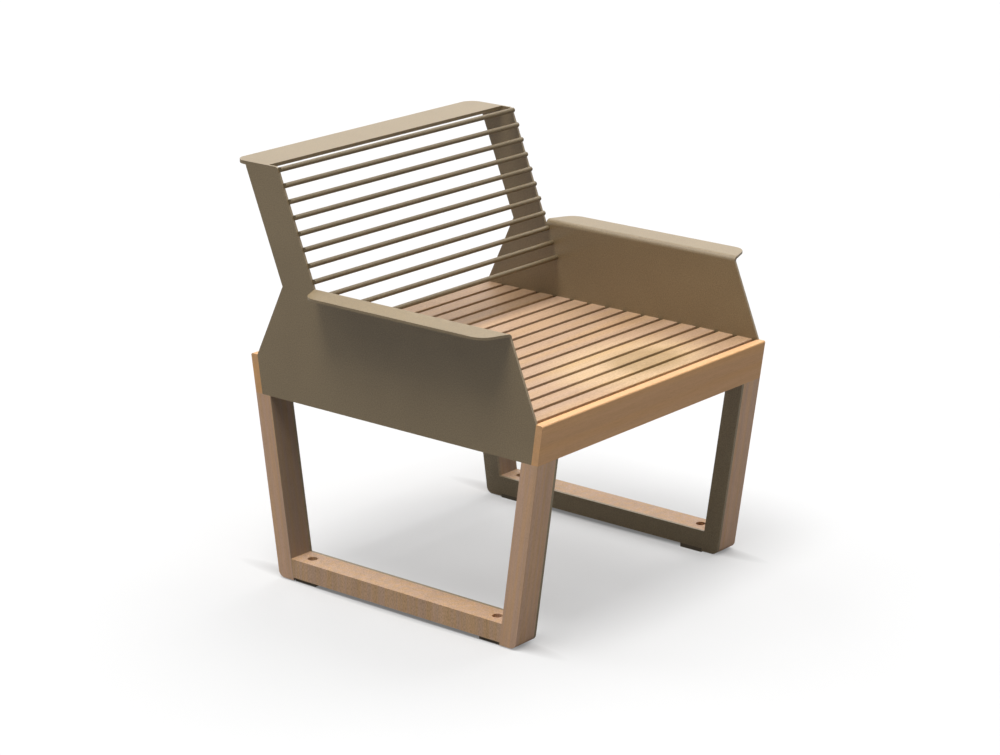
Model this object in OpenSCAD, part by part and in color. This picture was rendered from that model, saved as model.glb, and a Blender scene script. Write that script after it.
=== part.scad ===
// Garden armchair. Two sides of bent sheet metal stand on slanted timber legs, timber slats lie
// between them, and round bars under a flat top plate make the back.
// x runs to the right as seen from the front, y to the back and z up from the ground.

/* [Whole chair] */
// Width over the outer faces of the two sides, without the arms
chair_w = 700; // [560:10:900]
// Depth over the outer faces of the legs, produced to the ground
foot_d = 596; // [500:2:720]
// Height of the seat above the ground
seat_h = 449; // [400:1:500]
// Height of the arms above the ground
arm_h = 608; // [570:1:680]
// Height of the back above the ground
back_h = 829; // [760:1:940]
// Outward slant of the legs and boards, in degrees from upright
slant = 8; // [3:0.5:12]
// Backward rake of the back and of the sides' front edges, in degrees from upright
rake = 21.8; // [16:0.2:28]

/* [Side panels] */
// Thickness of the bent sheet
sheet_t = 5; // [3:0.5:7]
// Reach of the arm beyond the side's outer face
arm_reach = 58; // [44:1:90]
// Inside radius of the bend between side and arm
bend_r = 5; // [3:0.5:10]
// Radius of the arm's two outer corners
arm_corner_r = 35; // [8:1:38]
// Sweep of the arm's front end, in degrees
arm_front_sweep = 20; // [0:1:30]
// Sweep of the arm's rear end, in degrees
arm_rear_sweep = 25; // [0:1:35]
// Width of the slit between the arm's rear end and the wing
slit_w = 2.6; // [1:0.2:6]
// Set-back of the side's front edge from the front board's face
front_cover = 15; // [8:1:17]
// Set-back of the side's rear edge from the rear board's face
rear_cover = 17; // [8:0.5:17.5]
// Distance from the rear board's top corner forward to the wing, level with the arms
wing_set = 168.7; // [140:0.1:210]
// Width of the wing, measured level
wing_w = 85.3; // [65:0.1:110]
// Height of the waist, where the wing runs into the side's rear edge
waist_h = 597; // [550:1:640]
// Radius of the wing's top front corner
wing_corner_r = 7; // [2:1:24]

/* [Back] */
// Thickness of the top plate
top_t = 7; // [4:0.5:10]
// Depth of the top plate from front to back
top_d = 88; // [70:1:110]
// Distance of the top plate's front edge behind the wing's top corner
top_set = 25; // [15:1:34]
// Radius of the top plate's rear corners
top_corner_r = 27; // [5:1:60]
// Diameter of the round bars
rod_d = 10; // [6:0.5:14]
// Distance of the first bar below the wing's top corner, along the edge
rod_first = 6.5; // [6:0.1:20]
// Height above the seat at which the row of bars ends, measured on the wings' edge line
rod_clear = 81.5; // [60:0.5:110]
// Depth of the seats that the wings' front edges give the bars
rod_seat = 2.5; // [1:0.5:4]
// Length of a long bar's end that lies on each wing's edge
rod_bearing = 2; // [1:0.5:2.5]

/* [Seat] */
// Depth of the boards and of the sides below the seat
board_h = 78; // [70:1:90]
// Thickness of the front and rear boards, measured level
board_t = 18.4; // [18.2:0.1:26]
// Thickness of the slats
slat_t = 22; // [16:0.5:28]
// Groove between two slats, and between the front board and the first
slat_gap = 10; // [6:0.5:14]
// Groove between the last slat and the rear board
rear_gap = 4; // [1:0.5:10]
// Radius of the boards' top outer arris
board_arris_r = 3.5; // [1:0.5:6]
// Radius of the slats' top arrises
slat_arris_r = 1.5; // [0.5:0.5:4]

/* [Legs] */
// Width of a leg across the chair
leg_w = 54; // [44:1:64]
// Depth of a leg from front to back, measured level
leg_d = 38; // [34:1:42]
// Height of the legs' feet above the ground
leg_lift = 2.5; // [1:0.5:6]
// Radius of each leg's outer bottom corner
leg_corner_r = 14; // [4:1:20]
// Height of the bottom rail
rail_h = 38; // [30:1:60]
// Thickness of the foot pads
pad_t = 8; // [6:0.5:14]
// Length of a foot pad along the rail
pad_l = 52; // [40:1:80]
// Set-back of the foot pads from the legs' outer faces
pad_set = 5; // [1:1:8]

/* [Ground anchors] */
// Diameter of the anchor holes through rail and pad
anchor_d = 11; // [7:0.5:13]
// Diameter of the anchor holes' wide upper part
anchor_head_d = 20; // [16:1:26]
// Timber left under the anchor's head
anchor_seat = 10; // [6:1:16]

/* [Steel frame] */
// Thickness of the flats on the legs, the ties and the bearers
flat_t = 6; // [4:0.5:8]
// Height of the flat that closes each side's frame under the seat
top_flat_h = 46; // [36:1:50]
// Height of the cross ties
tie_h = 50; // [40:1:54]
// Width and height of the tee bar under the slats
tee_w = 40; // [36:1:60]
// Thickness of the tee bar
tee_t = 5; // [3:0.5:6]

/* [Screws and bolts] */
// Shank diameter of the screws
screw_d = 5; // [3:0.5:6]
// Head diameter of the screws
screw_head_d = 9.5; // [7:0.5:11]
// Height of the screws' heads
screw_head_h = 3; // [2:0.5:4]
// Depth of the screws in the timber
screw_depth = 14; // [8:1:15]
// Shank diameter of the bolts that hold the boards
bolt_d = 8; // [5:0.5:10]
// Width across the corners of the bolts' hexagonal heads
bolt_head_d = 15; // [12:0.5:18]
// Height of the bolts' heads
bolt_head_h = 5; // [3:0.5:7]
// Depth of the bolts in the boards
bolt_depth = 14; // [8:1:15]

/* [Hidden] */
// Overrun of every cut
over = 1;
// Clearance round a shank in its hole, on the radius
hole_ease = 0.25;
// Clearance of the bars from the wings, and of slats and bars from the sides
seat_ease = 0.2;
// Bars in the back and slats in the seat, which share out the room that there is
rod_count = 11;
slat_count = 15;
// Chords in each small rounded corner of an outline
arc_steps = 12;
// Degrees in half a turn
half_turn = 180;
// Circles that matter are round, whatever this is
$fn = 96;

// Places of the three legs' screws up each leg, and of the board bolts along a tie, as shares
leg_screw_shares = [0.12, 0.5, 0.86];
rail_screw_shares = [-0.5, 0.5];
bolt_shares = [-0.84, -0.3, 0.3, 0.84];

side_x = chair_w / 2;
inner_x = side_x - sheet_t;
leg_x = side_x - leg_w;
frame_x = leg_x - flat_t;
anchor_x = side_x - leg_w / 2;
bearer_screw_x = (leg_x + inner_x) / 2;
tee_screw_x = (tee_w + tee_t) / 4;
slat_screw_xs = [-bearer_screw_x, tee_screw_x, bearer_screw_x];

panel_low = seat_h - board_h;
slat_low = seat_h - slat_t;
bearer_low = slat_low - flat_t;
rail_top = pad_t + rail_h;
bend_z = arm_h - sheet_t - bend_r;
bend_x = side_x + bend_r;
arm_x = side_x + arm_reach;
anchor_y = face_y(leg_lift) - leg_d - seat_ease - pad_l / 2;

arm_front_y = front_cover - face_y(seat_h) + (bend_z - seat_h) * tan(rake);
arm_rear_y = wing_y(bend_z) - slit_w;
top_front_y = wing_y(back_h) + top_set;
top_rear_y = top_front_y + top_d;
front_reach = face_y(seat_h - board_arris_r) + board_arris_r - board_arris_r / cos(slant);
middle_y = (top_rear_y - front_reach) / 2;

rod_room = (back_h - seat_h - rod_clear) / cos(rake) - rod_first;
rod_pitch = rod_room / (rod_count - 1);
rod_out = rod_d / 2 + seat_ease - rod_seat;

slat_room = 2 * (face_y(seat_h) - board_t) - rear_gap;
slat_pitch = slat_room / slat_count;
slat_w = slat_pitch - slat_gap;
slat_front_y = board_t - face_y(seat_h) + slat_gap;

rod_names = [for (i = [1:rod_count]) str("back_rod_", i < 10 ? "0" : "", i)];
slat_names = [for (i = [1:slat_count]) str("seat_slat_", i < 10 ? "0" : "", i)];

// Distance of the slanted outer faces from the middle of the seat at a height
function face_y(z) = foot_d / 2 + z * tan(slant);

// Place of the wing's raked front edge at a height
function wing_y(z) = face_y(seat_h) - wing_set + (z - arm_h) * tan(rake);

// Outline of a member between the two slanted faces, set in from both
function between(set_in, low, high) = [
    [set_in - face_y(low), low],
    [face_y(low) - set_in, low],
    [face_y(high) - set_in, high],
    [set_in - face_y(high), high]
];

// Outline of a slanted member behind the front face, from one depth to another
function slanted(near, far, low, high) = [
    [near - face_y(low), low],
    [far - face_y(low), low],
    [far - face_y(high), high],
    [near - face_y(high), high]
];

// Corner of an outline as the chords of an arc that touches both of its sides
function corner(before, here, after, radius) =
    let (
        back = (before - here) / norm(before - here),
        ahead = (after - here) / norm(after - here),
        half = acos(back * ahead) / 2,
        centre = here + (back + ahead) / norm(back + ahead) * radius / sin(half),
        spoke = here + back * radius / tan(half) - centre,
        turn = sign(cross(ahead, back)) * (half_turn - 2 * half)
    )
    [for (k = [0:arc_steps])
        let (a = turn * k / arc_steps)
        centre + [spoke.x * cos(a) - spoke.y * sin(a), spoke.x * sin(a) + spoke.y * cos(a)]];

// Outline with a radius given for each point, where zero leaves the corner sharp
function rounded(points, radii) =
    let (n = len(points))
    [for (i = [0:n - 1])
        for (p = radii[i] == 0
            ? [points[i]]
            : corner(points[(i + n - 1) % n], points[i], points[(i + 1) % n], radii[i]))
        p];

// Puts the seat-centred chair over the origin
module placed() {
    translate([0, -middle_y, 0]) children();
}

// Slab across the chair from one x to another, with its outline seen from the side
module slab(x_from, x_to) {
    translate([x_from, 0, 0])
        rotate([90, 0, 90])
            linear_extrude(x_to - x_from)
                children();
}

module left_of(is_left) {
    mirror([is_left ? 1 : 0, 0, 0]) children();
}

module rear_of(is_rear) {
    mirror([0, is_rear ? 1 : 0, 0]) children();
}

// Cylinder along the boards' square direction, from a point outwards
module square_to_face(x, y, z, d, length) {
    translate([x, y, z])
        rotate([90 + slant, 0, 0])
            cylinder(d = d, h = length);
}

// Flat part of the side, the wing and the rear edge in one outline
module side_outline() {
    polygon(rounded(
        [
            [front_cover - face_y(panel_low), panel_low],
            [face_y(panel_low) - rear_cover, panel_low],
            [face_y(seat_h) - rear_cover, seat_h],
            [wing_y(waist_h) + wing_w, waist_h],
            [wing_y(back_h - top_t) + wing_w, back_h - top_t],
            [top_front_y, back_h - top_t],
            [top_front_y, back_h],
            [wing_y(back_h), back_h],
            [wing_y(bend_z), bend_z],
            [arm_rear_y, bend_z],
            [arm_front_y, bend_z],
            [front_cover - face_y(seat_h), seat_h]
        ],
        [0, 0, 0, 0, 0, 0, 0, wing_corner_r, 0, 0, 0, 0]
    ));
}

// Quarter ring that turns the side outwards into the arm
module arm_bend() {
    translate([0, arm_rear_y, 0])
        rotate([90, 0, 0])
            linear_extrude(arm_rear_y - arm_front_y)
                translate([bend_x, bend_z])
                    intersection() {
                        difference() {
                            circle(r = bend_r + sheet_t);
                            circle(r = bend_r);
                        }
                        translate([-arm_reach, 0]) square(arm_reach);
                    }
}

// Arm seen from above: swept ends and two round outer corners
module arm_outline() {
    centre_x = arm_x - arm_corner_r;
    run = centre_x - bend_x;
    front_y = arm_front_y
        + run * tan(arm_front_sweep) + arm_corner_r / cos(arm_front_sweep);
    rear_y = arm_rear_y
        - run * tan(arm_rear_sweep) - arm_corner_r / cos(arm_rear_sweep);
    intersection() {
        union() {
            polygon([
                [bend_x, arm_front_y],
                [
                    centre_x + arm_corner_r * sin(arm_front_sweep),
                    front_y - arm_corner_r * cos(arm_front_sweep)
                ],
                [arm_x, front_y],
                [arm_x, rear_y],
                [
                    centre_x + arm_corner_r * sin(arm_rear_sweep),
                    rear_y + arm_corner_r * cos(arm_rear_sweep)
                ],
                [bend_x, arm_rear_y]
            ]);
            translate([centre_x, front_y]) circle(r = arm_corner_r);
            translate([centre_x, rear_y]) circle(r = arm_corner_r);
        }
        translate([bend_x, arm_front_y]) square([arm_reach, arm_rear_y - arm_front_y]);
    }
}

// Height and depth of a bar's middle line, in front of the wings' edges
function rod_along(i) = rod_first + (i - 1) * rod_pitch;
function rod_y(i) = wing_y(back_h) - rod_along(i) * sin(rake) - rod_out * cos(rake);
function rod_z(i) = back_h - rod_along(i) * cos(rake) + rod_out * sin(rake);

// Bars above the arms are long and cross the wings' edges, those below butt between the sides
function is_long(i) = rod_z(i) - rod_d / 2 > arm_h;
function rod_half(i) = is_long(i) ? inner_x + rod_bearing : inner_x - seat_ease;

// Seats milled in the wing's edge for the long bars, blind towards the outer face
module rod_seats() {
    for (i = [1:rod_count])
        if (is_long(i))
            translate([0, rod_y(i), rod_z(i)])
                rotate([0, 90, 0])
                    cylinder(d = rod_d + 2 * seat_ease, h = rod_half(i) + seat_ease);
}

module side_panel(is_left) {
    color("#6e6152")
        placed()
            left_of(is_left)
                union() {
                    difference() {
                        slab(inner_x, side_x) side_outline();
                        rod_seats();
                    }
                    arm_bend();
                    translate([0, 0, arm_h - sheet_t]) linear_extrude(sheet_t) arm_outline();
                }
}

module back_top_plate() {
    square_d = top_d - top_corner_r;
    color("#b9ab98")
        placed()
            translate([0, top_front_y, back_h - top_t])
                linear_extrude(top_t)
                    union() {
                        translate([-side_x, 0]) square([chair_w, square_d]);
                        translate([top_corner_r - side_x, 0])
                            square([chair_w - 2 * top_corner_r, top_d]);
                        for (s = [-1, 1])
                            translate([s * (side_x - top_corner_r), square_d])
                                circle(r = top_corner_r);
                    }
}

module back_rod(i) {
    color("#7a6c5a")
        placed()
            translate([-rod_half(i), rod_y(i), rod_z(i)])
                rotate([0, 90, 0])
                    cylinder(d = rod_d, h = 2 * rod_half(i));
}

// Holes in a board for the bolts through the tie behind it
module bolt_holes(length) {
    z = slat_low - tie_h / 2;
    y = board_t + flat_t - face_y(z);
    for (share = bolt_shares)
        square_to_face(share * frame_x, y, z, bolt_d + 2 * hole_ease, length);
}

module seat_board(is_rear) {
    cover = is_rear ? rear_cover : front_cover;
    color("#a9855f")
        placed()
            rear_of(is_rear)
                difference() {
                    union() {
                        slab(-inner_x, inner_x)
                            polygon(rounded(
                                slanted(0, board_t, panel_low, seat_h),
                                [0, 0, slat_arris_r, board_arris_r]
                            ));
                        slab(-side_x, side_x)
                            polygon(rounded(
                                slanted(0, cover, panel_low, seat_h),
                                [0, 0, 0, board_arris_r]
                            ));
                    }
                    bolt_holes(flat_t + bolt_depth + over);
                }
}

function slat_y(i) = slat_front_y + (i - 1) * slat_pitch;

// Middle of a slat, or as near to it as the side bearers' ends let a screw stand
function slat_screw_y(i) =
    let (limit = face_y(bearer_low) - leg_d - screw_head_d)
    max(-limit, min(limit, slat_y(i) + slat_w / 2));

module seat_slat(i) {
    color("#dcbfa2")
        placed()
            difference() {
                translate([seat_ease - inner_x, 0, 0])
                    slab(0, 2 * (inner_x - seat_ease))
                        polygon(rounded(
                            [
                                [slat_y(i), slat_low],
                                [slat_y(i) + slat_w, slat_low],
                                [slat_y(i) + slat_w, seat_h],
                                [slat_y(i), seat_h]
                            ],
                            [0, 0, slat_arris_r, slat_arris_r]
                        ));
                for (x = slat_screw_xs)
                    translate([x, slat_screw_y(i), slat_low - over])
                        cylinder(d = screw_d + 2 * hole_ease, h = screw_depth + 2 * over);
            }
}

// Leg seen from the side: full depth under the board, and a tongue behind it up to the slats
module leg_outline() {
    polygon(rounded(
        [
            [-face_y(leg_lift), leg_lift],
            [leg_d - face_y(leg_lift), leg_lift],
            [leg_d - face_y(slat_low), slat_low],
            [board_t - face_y(slat_low), slat_low],
            [board_t - face_y(panel_low), panel_low],
            [-face_y(panel_low), panel_low]
        ],
        [leg_corner_r, 0, 0, 0, 0, 0]
    ));
}

// Heights of the screws up a leg, on its middle line
function leg_screw_z(share) = leg_lift + share * (panel_low - leg_lift);
function rail_screw_y(share) = share * face_y(rail_top);

// Puts what follows at each screw of a front leg, at x from the middle of the chair
module at_leg_screws(x) {
    for (share = leg_screw_shares)
        translate([x, leg_d / 2 - face_y(leg_screw_z(share)), leg_screw_z(share)])
            children();
}

module at_rail_screws(x) {
    for (share = rail_screw_shares)
        translate([x, rail_screw_y(share), pad_t + rail_h / 2])
            children();
}

// Screw hole into timber, from its inner side
module timber_hole() {
    translate([-over, 0, 0])
        rotate([0, 90, 0])
            cylinder(d = screw_d + 2 * hole_ease, h = screw_depth + 2 * over);
}

// Screw hole through a flat, sunk so that the head lies flush
module sunk_hole() {
    translate([-over, 0, 0])
        rotate([0, 90, 0])
            union() {
                cylinder(d = screw_head_d + 2 * hole_ease, h = screw_head_h + over);
                cylinder(d = screw_d + 2 * hole_ease, h = flat_t + 2 * over);
            }
}

module leg(is_rear, is_left) {
    color("#8f7255")
        placed()
            left_of(is_left)
                rear_of(is_rear)
                    difference() {
                        union() {
                            slab(leg_x, side_x)
                                polygon(rounded(
                                    slanted(0, leg_d, leg_lift, panel_low),
                                    [leg_corner_r, 0, 0, 0]
                                ));
                            slab(leg_x, inner_x)
                                polygon(slanted(board_t, leg_d, panel_low, slat_low));
                        }
                        at_leg_screws(leg_x) timber_hole();
                    }
}

module bottom_rail(is_left) {
    color("#8f7255")
        placed()
            left_of(is_left)
                difference() {
                    slab(leg_x, side_x) polygon(between(leg_d, pad_t, rail_top));
                    for (s = [-1, 1])
                        translate([anchor_x, s * anchor_y, 0]) {
                            cylinder(d = anchor_d, h = rail_top + over);
                            translate([0, 0, pad_t + anchor_seat])
                                cylinder(d = anchor_head_d, h = rail_h);
                        }
                    at_rail_screws(leg_x) timber_hole();
                }
}

// Flat on a leg's inner side, with the leg's own outline
module leg_plate(is_rear, is_left) {
    color("#55503f")
        placed()
            left_of(is_left)
                rear_of(is_rear)
                    difference() {
                        slab(frame_x, leg_x) leg_outline();
                        at_leg_screws(frame_x) sunk_hole();
                    }
}

module bottom_flat(is_left) {
    color("#55503f")
        placed()
            left_of(is_left)
                difference() {
                    slab(frame_x, leg_x) polygon(between(leg_d, pad_t, rail_top));
                    at_rail_screws(frame_x) sunk_hole();
                }
}

module top_flat(is_left) {
    color("#55503f")
        placed()
            left_of(is_left)
                slab(frame_x, leg_x)
                    polygon(between(leg_d, bearer_low - top_flat_h, bearer_low));
}

// Flat that lies on the frame and reaches to the side, under the slats' ends
module side_bearer(is_left) {
    color("#55503f")
        placed()
            left_of(is_left)
                difference() {
                    slab(frame_x, inner_x) polygon(between(leg_d, bearer_low, slat_low));
                    slat_holes(bearer_screw_x);
                }
}

// Holes through a bearer for one row of slat screws
module slat_holes(x) {
    for (i = [1:slat_count])
        translate([x, slat_screw_y(i), bearer_low - over])
            cylinder(d = screw_d + 2 * hole_ease, h = flat_t + 2 * over);
}

module centre_bearer() {
    set_in = board_t + flat_t;
    color("#55503f")
        placed()
            difference() {
                union() {
                    slab(-tee_w / 2, tee_w / 2)
                        polygon(between(set_in, slat_low - tee_t, slat_low));
                    slab(-tee_t / 2, tee_t / 2)
                        polygon(between(set_in, slat_low - tee_w, slat_low - tee_t));
                }
                slat_holes(tee_screw_x);
            }
}

// Slanted flat behind a board, between the two side frames
module tie(is_rear) {
    color("#55503f")
        placed()
            rear_of(is_rear)
                difference() {
                    slab(-frame_x, frame_x)
                        polygon(slanted(board_t, board_t + flat_t, slat_low - tie_h, slat_low));
                    translate([0, over, 0]) bolt_holes(flat_t + 2 * over);
                }
}

module foot_pad(is_rear, is_left) {
    color("#2b2b2b")
        placed()
            left_of(is_left)
                rear_of(is_rear)
                    difference() {
                        translate([frame_x, -anchor_y - pad_l / 2, 0])
                            cube([side_x - pad_set - frame_x, pad_l, pad_t]);
                        translate([anchor_x, -anchor_y, -over])
                            cylinder(d = anchor_d, h = pad_t + 2 * over);
                    }
}

// Screws up through the bearers into every slat
module slat_screws() {
    color("silver")
        placed()
            for (i = [1:slat_count])
                for (x = slat_screw_xs) {
                    low = x == tee_screw_x ? slat_low - tee_t : bearer_low;
                    translate([x, slat_screw_y(i), low - screw_head_h])
                        union() {
                            cylinder(d = screw_head_d, h = screw_head_h);
                            cylinder(d = screw_d, h = slat_low - low + screw_head_h + screw_depth);
                        }
                }
}

// Hexagon bolts from inside through each tie into its board
module board_bolts() {
    z = slat_low - tie_h / 2;
    y = board_t + flat_t - face_y(z);
    color("silver")
        placed()
            for (is_rear = [false, true])
                rear_of(is_rear)
                    for (share = bolt_shares)
                        translate([share * frame_x, y, z])
                            rotate([90 + slant, 0, 0])
                                union() {
                                    translate([0, 0, -bolt_head_h])
                                        cylinder(d = bolt_head_d, h = bolt_head_h, $fn = 6);
                                    cylinder(d = bolt_d, h = flat_t + bolt_depth);
                                }
}

// Flush screw through a flat into the timber behind it
module leg_screw() {
    rotate([0, 90, 0])
        union() {
            cylinder(d = screw_head_d, h = screw_head_h);
            cylinder(d = screw_d, h = flat_t + screw_depth);
        }
}

module leg_screws() {
    color("silver")
        placed()
            for (is_left = [false, true])
                left_of(is_left) {
                    for (is_rear = [false, true])
                        rear_of(is_rear) at_leg_screws(frame_x) leg_screw();
                    at_rail_screws(frame_x) leg_screw();
                }
}

side_panel(true);  // side_panel_left
side_panel(false);  // side_panel_right
back_top_plate();
for (i = [1:rod_count]) back_rod(i);
seat_board(false);  // front_board
seat_board(true);  // rear_board
for (i = [1:slat_count]) seat_slat(i);
leg(false, true);  // front_leg_left
leg(false, false);  // front_leg_right
leg(true, true);  // rear_leg_left
leg(true, false);  // rear_leg_right
bottom_rail(true);  // bottom_rail_left
bottom_rail(false);  // bottom_rail_right
leg_plate(false, true);  // front_leg_plate_left
leg_plate(false, false);  // front_leg_plate_right
leg_plate(true, true);  // rear_leg_plate_left
leg_plate(true, false);  // rear_leg_plate_right
bottom_flat(true);  // bottom_flat_left
bottom_flat(false);  // bottom_flat_right
top_flat(true);  // top_flat_left
top_flat(false);  // top_flat_right
side_bearer(true);  // side_bearer_left
side_bearer(false);  // side_bearer_right
centre_bearer();
tie(false);  // front_tie
tie(true);  // rear_tie
foot_pad(false, true);  // foot_pad_front_left
foot_pad(false, false);  // foot_pad_front_right
foot_pad(true, true);  // foot_pad_rear_left
foot_pad(true, false);  // foot_pad_rear_right
slat_screws();
board_bolts();
leg_screws();
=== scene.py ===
"""Looks of a garden armchair: bent sheet sides, timber legs and slats, and a back of round bars."""

from math import cos, radians, sin

import bpy
import numpy as np
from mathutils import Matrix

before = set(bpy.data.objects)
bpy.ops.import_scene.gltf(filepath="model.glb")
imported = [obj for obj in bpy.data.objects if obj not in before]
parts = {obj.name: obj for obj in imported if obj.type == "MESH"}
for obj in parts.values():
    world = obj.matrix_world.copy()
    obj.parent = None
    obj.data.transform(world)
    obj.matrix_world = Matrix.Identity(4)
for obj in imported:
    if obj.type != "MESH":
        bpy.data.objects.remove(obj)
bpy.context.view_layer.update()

# Steel side frames
# Each pair of legs is stiffened on its inner side by a closed frame of flat bar, tied across under
# the seat by two flats and a tee. All of it is welded and powder coated in one dark bronze.


class Signal:
    """One output of a node in a finish. Arithmetic on it adds Math nodes."""

    def __init__(self, finish, socket):
        self.finish = finish
        self.socket = socket

    def maths(self, operation, first, second=0.0, clamp=False):
        """Math node of that operation on two signals or numbers."""
        settings = {"operation": operation, "use_clamp": clamp}
        return self.finish.node("ShaderNodeMath", settings, {0: first, 1: second})

    def __add__(self, other):
        return self.maths("ADD", self, other)

    def __sub__(self, other):
        return self.maths("SUBTRACT", self, other)

    def __rsub__(self, other):
        return self.maths("SUBTRACT", other, self)

    def __mul__(self, other):
        return self.maths("MULTIPLY", self, other)

    def clamped(self):
        """The same value held between 0 and 1."""
        return self.maths("ADD", self, 0.0, clamp=True)

    def above(self, level, gain):
        """How far the value is above a level, times a gain, held between 0 and 1."""
        return ((self - level) * gain).clamped()


class Finish:
    """A material being built on one Principled shader, whose constants sit on its own sockets."""

    def __init__(self, name, **constants):
        self.material = bpy.data.materials.new(name)
        self.material.use_nodes = True
        self.tree = self.material.node_tree
        self.shader = self.tree.nodes["Principled BSDF"]
        for socket, value in constants.items():
            self.shader.inputs[socket.replace("_", " ")].default_value = value
        self.place = self.node("ShaderNodeTexCoord", {}, {}, "Object")

    def node(self, kind, settings, inputs, output=0):
        """Adds a node of that kind with its settings, feeds its sockets and returns one output."""
        made = self.tree.nodes.new(kind)
        for key, value in settings.items():
            setattr(made, key, value)
        for key, value in inputs.items():
            self.feed(made.inputs[key], value)
        return Signal(self, made.outputs[output])

    def feed(self, socket, value):
        """Links a signal to a socket, or sets the socket's own number or colour."""
        if isinstance(value, Signal):
            self.tree.links.new(value.socket, socket)
        elif socket.type == "RGBA":
            socket.default_value = (*value, 1.0)
        else:
            socket.default_value = value

    def stretched(self, scale, shift=(0.0, 0.0, 0.0), turn=(0.0, 0.0, 0.0), place=None):
        """Object coordinates times a scale on each axis, after a shift and a turn."""
        return self.node(
            "ShaderNodeMapping",
            {"vector_type": "POINT"},
            {"Vector": place or self.place, "Location": shift, "Rotation": turn, "Scale": scale},
        )

    def noise(self, place, scale, detail=3.0, roughness=0.5, distortion=0.0):
        """Noise between 0 and 1 with that many cells to a metre."""
        return self.node(
            "ShaderNodeTexNoise",
            {},
            {"Vector": place, "Scale": scale, "Detail": detail, "Roughness": roughness,
             "Distortion": distortion},
        )

    def between(self, factor, low, high):
        """Colour that runs from low to high as the factor runs from 0 to 1."""
        return self.node(
            "ShaderNodeMix",
            {"data_type": "RGBA", "clamp_factor": True},
            {"Factor": factor, 6: low, 7: high},
            2,
        )

    def tinted(self, colour, tint, factor):
        """Colour multiplied by a tint, as far as the factor says."""
        return self.node(
            "ShaderNodeMix",
            {"data_type": "RGBA", "blend_type": "MULTIPLY", "clamp_factor": True},
            {"Factor": factor, 6: colour, 7: tint},
            2,
        )

    def bump(self, height, strength, distance):
        """Normal that follows a height, with the height of 1 that many metres proud."""
        return self.node(
            "ShaderNodeBump", {}, {"Height": height, "Strength": strength, "Distance": distance}
        )

    def wear(self, colour, roughness, normal):
        """Feeds the shader with what varies over the surface."""
        self.feed(self.shader.inputs["Base Color"], colour)
        self.feed(self.shader.inputs["Roughness"], roughness)
        self.feed(self.shader.inputs["Normal"], normal)
        return self.material


COAT_FLECKS = 420.0
COAT_PEEL = 320.0
COAT_CLOUDS = 7.0
COAT_CLOUD_TINT = (0.88, 0.87, 0.85)
COAT_RELIEF = 0.00012


def powder_coat(name, colour, fleck_share, roughness, index=1.7):
    """Fine textured powder coat: a colour with light and dark flecks up to 3 mm wide, slow
    clouds over a hand's width, and a low orange-peel height from the same flecks. The share
    says how far flecks stray from the colour, and index is the coat's index of refraction."""
    coat = Finish(name, IOR=index)
    flecks = coat.noise(coat.place, COAT_FLECKS, detail=4.0, roughness=0.65)
    peel = coat.noise(coat.place, COAT_PEEL, detail=2.0)
    clouds = coat.noise(coat.place, COAT_CLOUDS, detail=2.0)
    darker = tuple(c * (1.0 - fleck_share) for c in colour)
    lighter = tuple(min(1.0, c * (1.0 + fleck_share)) for c in colour)
    tone = coat.between(flecks.above(0.3, gain=2.5), darker, lighter)
    tone = coat.tinted(tone, COAT_CLOUD_TINT, clouds.above(0.35, gain=2.0))
    height = flecks * 0.4 + peel * 0.6
    return coat.wear(tone, flecks * 0.16 + (roughness - 0.08), coat.bump(height, 0.3, COAT_RELIEF))


def dress(nodes, material):
    """Gives CAD nodes a material in every slot."""
    for name in nodes:
        mesh = parts[name].data
        mesh.materials.clear()
        mesh.materials.append(material)


SIDES = ("left", "right")
ENDS = ("front", "rear")
FRAME_BRONZE = (0.29, 0.222, 0.13)
frame_coat = powder_coat("frame_coat", FRAME_BRONZE, fleck_share=0.30, roughness=0.45)
dress(
    [f"{end}_leg_plate_{side}" for end in ENDS for side in SIDES]
    + [f"{piece}_{side}" for piece in ("bottom_flat", "top_flat", "side_bearer") for side in SIDES]
    + ["centre_bearer", "front_tie", "rear_tie", "leg_screws"],
    frame_coat,
)

# Timber legs and bottom rails
# Legs of solid oiled hardwood lean by 8 degrees, and rails with counterbored anchor holes join
# their feet. The figure stands upright on all. The rear legs' front faces have painted shade: a
# darker olive tint where the seat shades them.

WOOD_BANDS = 26.0
WOOD_STREAKS = 130.0
WOOD_PORES = 900.0
WOOD_FLECKS = 560.0
GRAIN_DRAW = 0.04
GOLD_TINT = (1.09, 1.02, 0.76)
PORE_TINT = (0.72, 0.64, 0.56)
FLECK_TINT = (0.62, 0.57, 0.52)
WOOD_RELIEF = 0.0004


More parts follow.
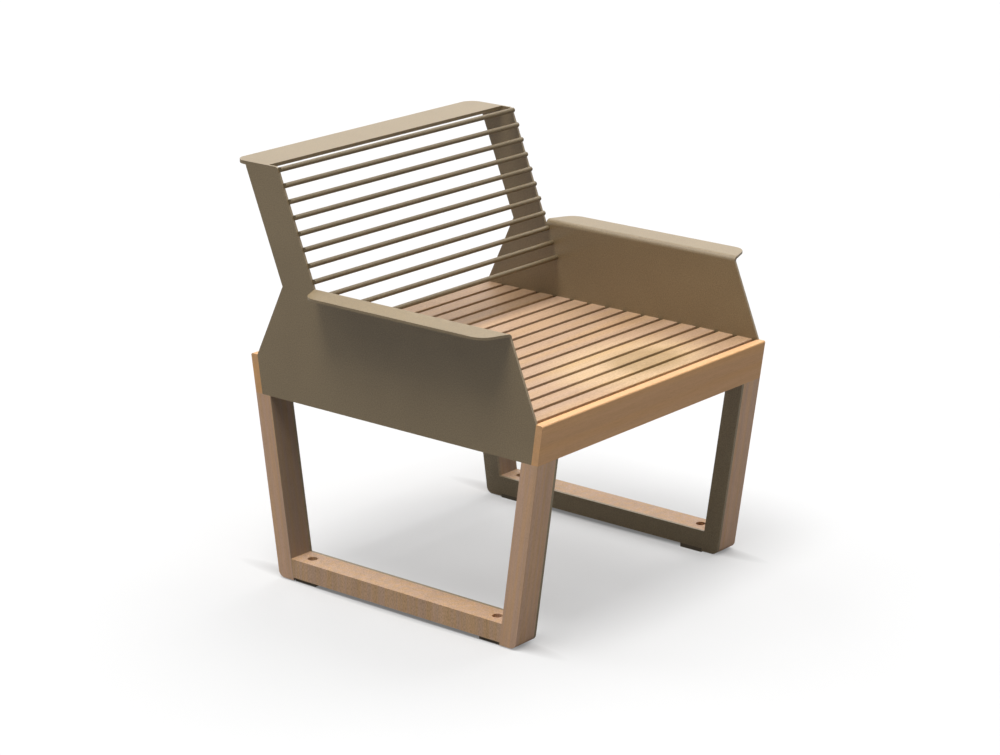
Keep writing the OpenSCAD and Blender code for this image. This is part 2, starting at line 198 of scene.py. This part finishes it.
def hardwood(name, pale, deep, along, shift, turn=0.0, gold=0.5, stripe_count=34.0, fleck=0.3):
    """Oiled hardwood. Growth figure is noise drawn out along the grain: broad bands some 40 mm
    wide, streaks of 8 mm and pores of 1 mm. Golden stripes lie over it, as strong as gold says
    and stripe_count to a metre. Flecks of 1.5 mm break it up as far as fleck says, and the
    pores are also the height of the bump. Returns the finish and what it wears: its colour,
    roughness and normal."""
    wood = Finish(name, IOR=1.45, Specular_IOR_Level=0.4)
    place = wood.stretched((1.0, 1.0, 1.0), shift, (turn, 0.0, 0.0))
    squeeze = tuple(GRAIN_DRAW if axis == along else 1.0 for axis in "xyz")
    fibre = wood.stretched(squeeze, place=place)
    bands = wood.noise(fibre, WOOD_BANDS, detail=2.0, distortion=0.6)
    streaks = wood.noise(fibre, WOOD_STREAKS, detail=3.0, roughness=0.6)
    pores = wood.noise(fibre, WOOD_PORES, detail=2.0, roughness=0.7)
    stripes = wood.noise(fibre, stripe_count, detail=1.0)
    short = wood.stretched(tuple(0.35 + 0.65 * share for share in squeeze), place=place)
    flecks = wood.noise(short, WOOD_FLECKS)
    figure = (bands * 0.9 + streaks * 0.7 - 0.45).clamped()
    tone = wood.between(figure, pale, deep)
    tone = wood.tinted(tone, GOLD_TINT, stripes.above(0.40, gain=4.0) * gold)
    tone = wood.tinted(tone, PORE_TINT, pores.above(0.5, gain=1.6))
    tone = wood.tinted(tone, FLECK_TINT, flecks.above(0.42, gain=3.0) * fleck)
    height = pores * 0.6 + streaks * 0.4
    return wood, tone, pores * 0.2 + 0.38, wood.bump(height, 0.25, WOOD_RELIEF)


LEG_PALE = (0.74, 0.49, 0.345)
LEG_DEEP = (0.53, 0.34, 0.225)
LEG_SLANT = radians(8.0)
LEG_APART = 0.3
PAINTED_SHADE_TINT = (0.56, 0.61, 0.64)
SHADED_FACE_AT = 0.2422
PAINTED_SHADE_EDGE = 1500.0
for end, turn in (("front", -LEG_SLANT), ("rear", LEG_SLANT)):
    for index, side in enumerate(SIDES):
        wood, tone, roughness, normal = hardwood(
            f"{end}_leg_{side}_wood", LEG_PALE, LEG_DEEP, "z", (LEG_APART * index, 0.0, 0.0), turn,
            gold=0.6, stripe_count=120.0,
        )
        # Painted shade: the rear legs' front faces, in the seat's shade, are tinted darker and more
        # olive.
        if end == "rear":
            square = wood.stretched((1.0, 1.0, 1.0), turn=(turn, 0.0, 0.0))
            depth = wood.node("ShaderNodeSeparateXYZ", {}, {"Vector": square}, 1)
            painted_shade = ((SHADED_FACE_AT - depth) * PAINTED_SHADE_EDGE).clamped()
            tone = wood.tinted(tone, PAINTED_SHADE_TINT, painted_shade)
        dress([f"{end}_leg_{side}"], wood.wear(tone, roughness, normal))

RAIL_PALE = (0.72, 0.49, 0.34)
RAIL_DEEP = (0.50, 0.33, 0.215)
RAIL_FIGURE_AT = 0.2
for index, side in enumerate(SIDES):
    wood, *grain = hardwood(
        f"bottom_rail_{side}_wood", RAIL_PALE, RAIL_DEEP, "z",
        (RAIL_FIGURE_AT, 0.0, LEG_APART * index), gold=0.7, stripe_count=90.0, fleck=1.0,
    )
    dress([f"bottom_rail_{side}"], wood.wear(*grain))

# Foot pads
# Dark olive rubber blocks, 8 mm thick, each with the anchor hole through it. They lie under the
# rails' ends and keep the timber off the ground.

PAD_DARK = (0.12, 0.098, 0.066)
PAD_PALE = (0.20, 0.165, 0.115)
PAD_GRIT = 1200.0
PAD_RELIEF = 0.0003
rubber = Finish("pad_rubber", IOR=1.5)
grit = rubber.noise(rubber.place, PAD_GRIT)
dress(
    [f"foot_pad_{end}_{side}" for end in ENDS for side in SIDES],
    rubber.wear(
        rubber.between(grit, PAD_DARK, PAD_PALE),
        grit * 0.2 + 0.65,
        rubber.bump(grit, 0.3, PAD_RELIEF),
    ),
)

# Seat boards
# Two slanted boards of the same hardwood close the seat at the front and the back. They run over
# the legs and are rebated at the ends for the sheet sides.

BOARD_PALE = (0.80, 0.47, 0.235)
BOARD_DEEP = (0.62, 0.335, 0.155)
BOARD_FIGURE_AT = 0.1
BOARD_APART = 0.4
for index, end in enumerate(ENDS):
    wood, *grain = hardwood(
        f"{end}_board_wood", BOARD_PALE, BOARD_DEEP, "x",
        (0.0, BOARD_APART * index, BOARD_FIGURE_AT), LEG_SLANT, fleck=0.15,
    )
    dress([f"{end}_board"], wood.wear(*grain))

# Seat slats
# Fifteen planed slats with rounded top arrises lie across the bearers and are screwed from below.
# One pale golden patch with a darker heart spans the slats, right of the middle in front.

SLAT_PALE = (0.56, 0.375, 0.245)
SLAT_DEEP = (0.40, 0.26, 0.165)
SLAT_SHIFT = (0.13, 0.0, 0.07)
PATCH_AT = (0.060, -0.262, 0.449)
PATCH_REACH = (0.22, 0.15, 0.10)
PATCH_EDGE = 2.6
PATCH_TINT = (1.23, 1.29, 1.17)
HEART_AT = (0.095, -0.272, 0.449)
HEART_REACH = (0.11, 0.08, 0.10)
HEART_EDGE = 2.2
HEART_TINT = (0.71, 0.69, 0.61)


def soft_spot(finish, centre, reach):
    """Spot in a finish: 1 at its centre, falling evenly to 0 at its reach on each axis."""
    place = finish.stretched(
        tuple(1.0 / size for size in reach), tuple(-at / size for at, size in zip(centre, reach))
    )
    return finish.node(
        "ShaderNodeTexGradient", {"gradient_type": "SPHERICAL"}, {"Vector": place}, 1
    )


slats = sorted(name for name in parts if name.startswith("seat_slat_"))
for index, name in enumerate(slats):
    shift = tuple(step * index for step in SLAT_SHIFT)
    wood, tone, roughness, normal = hardwood(
        f"{name}_wood", SLAT_PALE, SLAT_DEEP, "x", shift, fleck=0.75
    )
    golden = (soft_spot(wood, PATCH_AT, PATCH_REACH) * PATCH_EDGE).clamped()
    heart = (soft_spot(wood, HEART_AT, HEART_REACH) * HEART_EDGE).clamped()
    tone = wood.tinted(tone, PATCH_TINT, golden)
    tone = wood.tinted(tone, HEART_TINT, heart)
    dress([name], wood.wear(tone, roughness, normal))

# Bent sheet sides, top plate and round bars
# Sides of 5 mm sheet, each with its arm folded outwards and a raked wing. Bars are welded into the
# wings' edges below a flat plate. All have a taupe powder coat, darker and duller on the bars.

SHEET_TAUPE = (0.268, 0.197, 0.107)
ROD_TAUPE = (0.185, 0.139, 0.077)
sheet_coat = powder_coat("sheet_coat", SHEET_TAUPE, fleck_share=0.27, roughness=0.36)
rod_coat = powder_coat("rod_coat", ROD_TAUPE, fleck_share=0.27, roughness=0.50, index=1.42)
dress(["side_panel_left", "side_panel_right", "back_top_plate"], sheet_coat)
dress(sorted(name for name in parts if name.startswith("back_rod_")), rod_coat)

# Screws and bolts
# Stainless steel with fine turning marks. Screws hold the slats from below and bolts the boards
# from behind, where they hardly show.

STEEL_DARK = (0.50, 0.50, 0.48)
STEEL_PALE = (0.66, 0.66, 0.64)
STEEL_MARKS = 2500.0
STEEL_DRAW = (1.0, 1.0, 0.05)
STEEL_RELIEF = 0.0001
steel = Finish("stainless_steel", Metallic=1.0)
turning = steel.noise(steel.stretched(STEEL_DRAW), STEEL_MARKS)
dress(
    ["slat_screws", "board_bolts"],
    steel.wear(
        steel.between(turning, STEEL_DARK, STEEL_PALE),
        turning * 0.15 + 0.25,
        steel.bump(turning, 0.1, STEEL_RELIEF),
    ),
)

# Floor, backdrop and light
# Pale studio paper under five soft lamps, of which the strongest stands high on the chair's left.
# White all round the paper is seen and mirrored, but it lights nothing.

FLOOR_HALF = 30.0
floor_mesh = bpy.data.meshes.new("floor")
floor_corners = np.array([(-1, -1), (1, -1), (1, 1), (-1, 1)]) * FLOOR_HALF
floor_mesh.from_pydata([(x, y, 0.0) for x, y in floor_corners.tolist()], [], [(0, 1, 2, 3)])
floor = bpy.data.objects.new("floor", floor_mesh)
bpy.context.scene.collection.objects.link(floor)

FLOOR_SEEN = (0.40, 0.40, 0.40)
FLOOR_BOUNCE = (0.25, 0.25, 0.25)
FLOOR_GLOW = 0.39
WHITE = (1.0, 1.0, 1.0)
RAIL_MIDDLE = 0.323
PAINTED_SHADOW_REACH = (0.042, 0.42, 1.0)
PAINTED_SHADOW_EDGE = 3.0
PAINTED_SHADOW_DEPTH = 0.58
sweep = Finish("floor_paper", Roughness=1.0, Specular_IOR_Level=0.0)
rays = sweep.node("ShaderNodeLightPath", {}, {}, "Is Camera Ray")
sweep.feed(sweep.shader.inputs["Base Color"], sweep.between(rays, FLOOR_BOUNCE, FLOOR_SEEN))
sweep.feed(sweep.shader.inputs["Emission Color"], WHITE)
glow = rays * FLOOR_GLOW
# Painted shadow: the paper's own glow fades in the narrow gaps under the rails, leaving a dark line
# of shade.
for side in (-1.0, 1.0):
    painted_shadow = soft_spot(sweep, (side * RAIL_MIDDLE, 0.0, 0.0), PAINTED_SHADOW_REACH)
    glow = glow * (1.0 - (painted_shadow * PAINTED_SHADOW_EDGE).clamped() * PAINTED_SHADOW_DEPTH)
sweep.feed(sweep.shader.inputs["Emission Strength"], glow)
floor_mesh.materials.append(sweep.material)

AMBIENT = 0.0
world = bpy.data.worlds.new("studio")
world.use_nodes = True
world.cycles.sampling_method = "NONE"
bpy.context.scene.world = world
sky = world.node_tree
paths = sky.nodes.new("ShaderNodeLightPath")
level = sky.nodes.new("ShaderNodeMapRange")
level.inputs["To Min"].default_value = 1.0
level.inputs["To Max"].default_value = AMBIENT
sky.links.new(paths.outputs["Is Diffuse Ray"], level.inputs["Value"])
background = sky.nodes["Background"]
background.inputs["Color"].default_value = (*WHITE, 1.0)
sky.links.new(level.outputs["Result"], background.inputs["Strength"])


def lamp(name, strength, spread, height, bearing):
    """Distant soft lamp: strength in watts a square metre, width, height above the floor and
    bearing from +X towards +Y, all three in degrees."""
    light = bpy.data.lights.new(name, "SUN")
    light.energy = strength
    light.angle = radians(spread)
    thing = bpy.data.objects.new(name, light)
    bpy.context.scene.collection.objects.link(thing)
    thing.rotation_euler = (0.0, radians(90.0 - height), radians(bearing))
    return thing


lamp("left_key", strength=2.15, spread=26.0, height=74.0, bearing=182.0)
lamp("right_side", strength=1.75, spread=50.0, height=55.0, bearing=5.0)
# The low lamp behind gives no sheen, so that the plate and the arms keep their colour.
behind = lamp("behind", strength=1.45, spread=60.0, height=32.0, bearing=90.0)
behind.visible_glossy = False
lamp("rear_left", strength=0.40, spread=40.0, height=58.0, bearing=130.0)
lamp("front_fill", strength=0.65, spread=60.0, height=52.0, bearing=270.0)

# Camera
# A long lens 5.5 m off and 2.1 m up. Its place, turn and focal length were solved from the chair's
# own edges in the photograph, whose long side is 1000 pixels.

CAMERA_AT = (-4.2743, -3.5084, 2.0992)
CAMERA_AZIMUTH = radians(-50.55)
CAMERA_TILT = radians(17.244)
LOOK_LEVEL = radians(90.0)
VIEW_END = 200.0
FOCAL_PIXELS = 2956.5
PHOTO_WIDTH = 1000.0
eye = bpy.data.cameras.new("camera")
eye.sensor_fit = "HORIZONTAL"
eye.lens = FOCAL_PIXELS / PHOTO_WIDTH * eye.sensor_width
eye.clip_end = VIEW_END
camera = bpy.data.objects.new("camera", eye)
camera.location = CAMERA_AT
camera.rotation_euler = (LOOK_LEVEL - CAMERA_TILT, 0.0, CAMERA_AZIMUTH)
bpy.context.scene.collection.objects.link(camera)
bpy.context.scene.camera = camera
bpy.context.scene.view_settings.view_transform = "Standard"
